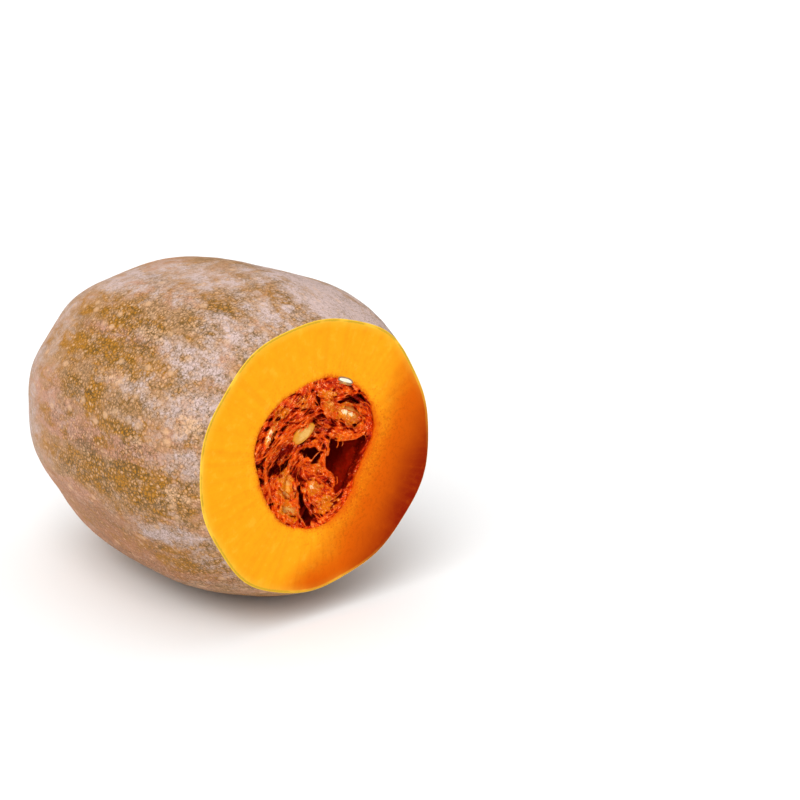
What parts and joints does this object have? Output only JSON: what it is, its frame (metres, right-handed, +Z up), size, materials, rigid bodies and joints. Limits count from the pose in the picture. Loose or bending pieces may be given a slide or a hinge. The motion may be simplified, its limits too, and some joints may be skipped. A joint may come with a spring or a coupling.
{
  "type": "butternut squash half",
  "caption": "Bulb half of a butternut squash, cut across behind the neck, lying on its side with its seed cavity, pulp and seeds showing.",
  "frame": {"origin": "on the surface that the half lies on, under the middle of its bounding box", "axes": "+X along the squash's length, out of the cut face; +Z up; +Y across, to the right of someone who faces the cut"},
  "size_m": [0.191, 0.1592, 0.1593],
  "materials": {
    "rind_and_flesh": "waxy mottled rind outside, moist orange flesh on the cut",
    "pulp": "wet stringy pulp",
    "seed": "smooth damp seed coat"
  },
  "bodies": {
    "root": {"squash_half": "rind_and_flesh", "pulp": "pulp", "seed_cut_by_knife": "seed", "seed_in_the_middle": "seed", "seed_at_left_rim": "seed", "seed_in_upper_pod": "seed", "seed_in_lower_pod": "seed", "seed_in_left_pod": "seed"}
  },
  "joints": []
}
